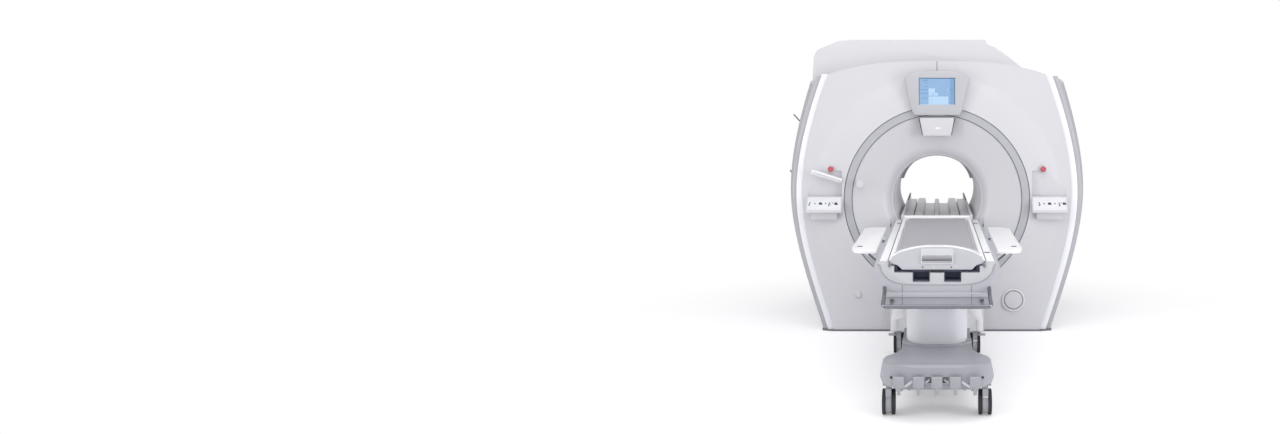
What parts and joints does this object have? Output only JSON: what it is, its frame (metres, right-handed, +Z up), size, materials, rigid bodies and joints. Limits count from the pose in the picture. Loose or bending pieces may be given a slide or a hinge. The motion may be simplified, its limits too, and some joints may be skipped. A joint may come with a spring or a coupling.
{
  "type": "mri scanner",
  "caption": "Wide-bore magnetic resonance scanner with a wheeled, docked patient table whose top lifts and whose cradle slides into the bore.",
  "frame": {"origin": "point on the floor under the middle of the bore, on the scanner's centre plane", "axes": "+Z up, +Y along the bore from the patient end to the service end, +X to the right seen from the patient end"},
  "size_m": [2.397, 4.5615, 2.357],
  "materials": {
    "gantry_white": "satin moulded cover",
    "trim_grey": "satin moulded trim",
    "strip_white": "translucent white strip",
    "bore_white": "satin liner",
    "pan_dark": "powder coat",
    "steel": "bare steel",
    "magnet_steel": "painted vessel",
    "winding": "resin-bound winding",
    "display_dark": "black glass",
    "table_white": "satin moulded cover",
    "table_grey": "satin moulded cover",
    "liner_dark": "matte moulding",
    "pad_grey": "coated fabric over foam",
    "chrome_bar": "polished tube",
    "stop_red": "glossy red",
    "caster_grey": "moulded fork",
    "tyre_dark": "twin tyres"
  },
  "bodies": {
    "gantry": {"floor_pan": "pan_dark", "magnet_feet": "steel", "vacuum_vessel": "magnet_steel", "magnet_coils": "winding", "gradient_coil": "winding", "rf_body_coil": "bore_white", "cold_head": "steel", "bore_liner": "bore_white", "bore_bridge": "table_white", "rear_pedestal": "gantry_white", "front_cover_left": "gantry_white", "front_cover_right": "gantry_white", "ring_trim": "trim_grey", "bore_funnel": "gantry_white", "dock_bay": "trim_grey", "dock_housing": "gantry_white", "light_strips": "strip_white", "side_trims": "trim_grey", "side_covers": "gantry_white", "top_cover": "gantry_white", "rear_cover": "gantry_white", "rear_funnel": "gantry_white", "display_bezel": "gantry_white", "display_screen": "display_dark", "laser_housing": "trim_grey", "control_shelves": "gantry_white", "stop_collars": "trim_grey", "cable_rests": "gantry_white", "round_port": "gantry_white"},
    "table_base": {"base_frame": "steel", "base_cover": "table_grey", "rear_leg_covers": "table_white", "lift_cylinder": "steel"},
    "table_top": {"lower_shell": "table_grey", "side_rails": "table_white", "end_bumper": "table_white", "bumper_liner": "liner_dark", "push_bar": "chrome_bar", "column_shroud": "table_grey", "lift_ram": "steel"},
    "cradle_carriage": {"cradle": "table_white", "cradle_pad": "pad_grey", "foot_panel": "table_white"},
    "arm_left": {"arm_board_left": "table_white"},
    "arm_right": {"arm_board_right": "table_white"},
    "stop_left": {"stop_button_left": "stop_red"},
    "stop_right": {"stop_button_right": "stop_red"},
    "pedal_body_far_left": {"pedal_far_left": "caster_grey"},
    "pedal_body_left": {"pedal_left": "caster_grey"},
    "pedal_body_middle": {"pedal_middle": "caster_grey"},
    "pedal_body_right": {"pedal_right": "caster_grey"},
    "pedal_body_far_right": {"pedal_far_right": "caster_grey"},
    "fork_front_left": {"caster_fork_front_left": "caster_grey"},
    "wheels_front_left": {"caster_wheels_front_left": "tyre_dark"},
    "fork_front_right": {"caster_fork_front_right": "caster_grey"},
    "wheels_front_right": {"caster_wheels_front_right": "tyre_dark"},
    "fork_rear_left": {"caster_fork_rear_left": "caster_grey"},
    "wheels_rear_left": {"caster_wheels_rear_left": "tyre_dark"},
    "fork_rear_right": {"caster_fork_rear_right": "caster_grey"},
    "wheels_rear_right": {"caster_wheels_rear_right": "tyre_dark"}
  },
  "joints": [
    {"name": "table_undock", "type": "slide", "parent": "gantry", "child": "table_base", "axis": [0, -1, 0], "range_m": [0, 1.5]},
    {"name": "table_lift", "type": "slide", "parent": "table_base", "child": "table_top", "axis": [0, 0, 1], "range_m": [-0.2, 0]},
    {"name": "cradle_travel", "type": "slide", "parent": "table_top", "child": "cradle_carriage", "axis": [0, 1, 0], "range_m": [0, 1.9]},
    {"name": "arm_left_fold", "type": "hinge", "parent": "table_top", "child": "arm_left", "pos_m": [-0.374, -1.8, 0.838], "axis": [0, -1, 0], "range_deg": [0, 90]},
    {"name": "arm_right_fold", "type": "hinge", "parent": "table_top", "child": "arm_right", "pos_m": [0.374, -1.8, 0.838], "axis": [0, 1, 0], "range_deg": [0, 90]},
    {"name": "stop_left_press", "type": "slide", "parent": "gantry", "child": "stop_left", "axis": [0, 1, 0], "range_m": [0, 0.006], "stiffness_N_per_m": 900},
    {"name": "stop_right_press", "type": "slide", "parent": "gantry", "child": "stop_right", "axis": [0, 1, 0], "range_m": [0, 0.006], "stiffness_N_per_m": 900},
    {"name": "pedal_far_left_press", "type": "hinge", "parent": "table_base", "child": "pedal_body_far_left", "pos_m": [-0.216, -2.9, 0.236], "axis": [1, 0, 0], "range_deg": [0, 14], "stiffness_Nm_per_rad": 6, "springref_deg": -8.59},
    {"name": "pedal_left_press", "type": "hinge", "parent": "table_base", "child": "pedal_body_left", "pos_m": [-0.104, -2.9, 0.236], "axis": [1, 0, 0], "range_deg": [0, 14], "stiffness_Nm_per_rad": 6, "springref_deg": -8.59},
    {"name": "pedal_middle_press", "type": "hinge", "parent": "table_base", "child": "pedal_body_middle", "pos_m": [0, -2.9, 0.236], "axis": [1, 0, 0], "range_deg": [0, 14], "stiffness_Nm_per_rad": 6, "springref_deg": -8.59},
    {"name": "pedal_right_press", "type": "hinge", "parent": "table_base", "child": "pedal_body_right", "pos_m": [0.104, -2.9, 0.236], "axis": [1, 0, 0], "range_deg": [0, 14], "stiffness_Nm_per_rad": 6, "springref_deg": -8.59},
    {"name": "pedal_far_right_press", "type": "hinge", "parent": "table_base", "child": "pedal_body_far_right", "pos_m": [0.216, -2.9, 0.236], "axis": [1, 0, 0], "range_deg": [0, 14], "stiffness_Nm_per_rad": 6, "springref_deg": -8.59},
    {"name": "swivel_front_left", "type": "hinge", "parent": "table_base", "child": "fork_front_left", "pos_m": [-0.281, -2.868, 0.19], "axis": [0, 0, 1], "continuous": true},
    {"name": "roll_front_left", "type": "hinge", "parent": "fork_front_left", "child": "wheels_front_left", "pos_m": [-0.281, -2.834, 0.075], "axis": [1, 0, 0], "continuous": true},
    {"name": "swivel_front_right", "type": "hinge", "parent": "table_base", "child": "fork_front_right", "pos_m": [0.281, -2.868, 0.19], "axis": [0, 0, 1], "continuous": true},
    {"name": "roll_front_right", "type": "hinge", "parent": "fork_front_right", "child": "wheels_front_right", "pos_m": [0.281, -2.834, 0.075], "axis": [1, 0, 0], "continuous": true},
    {"name": "swivel_rear_left", "type": "hinge", "parent": "table_base", "child": "fork_rear_left", "pos_m": [-0.281, -1.474, 0.19], "axis": [0, 0, 1], "continuous": true},
    {"name": "roll_rear_left", "type": "hinge", "parent": "fork_rear_left", "child": "wheels_rear_left", "pos_m": [-0.281, -1.44, 0.075], "axis": [1, 0, 0], "continuous": true},
    {"name": "swivel_rear_right", "type": "hinge", "parent": "table_base", "child": "fork_rear_right", "pos_m": [0.281, -1.474, 0.19], "axis": [0, 0, 1], "continuous": true},
    {"name": "roll_rear_right", "type": "hinge", "parent": "fork_rear_right", "child": "wheels_rear_right", "pos_m": [0.281, -1.44, 0.075], "axis": [1, 0, 0], "continuous": true}
  ]
}
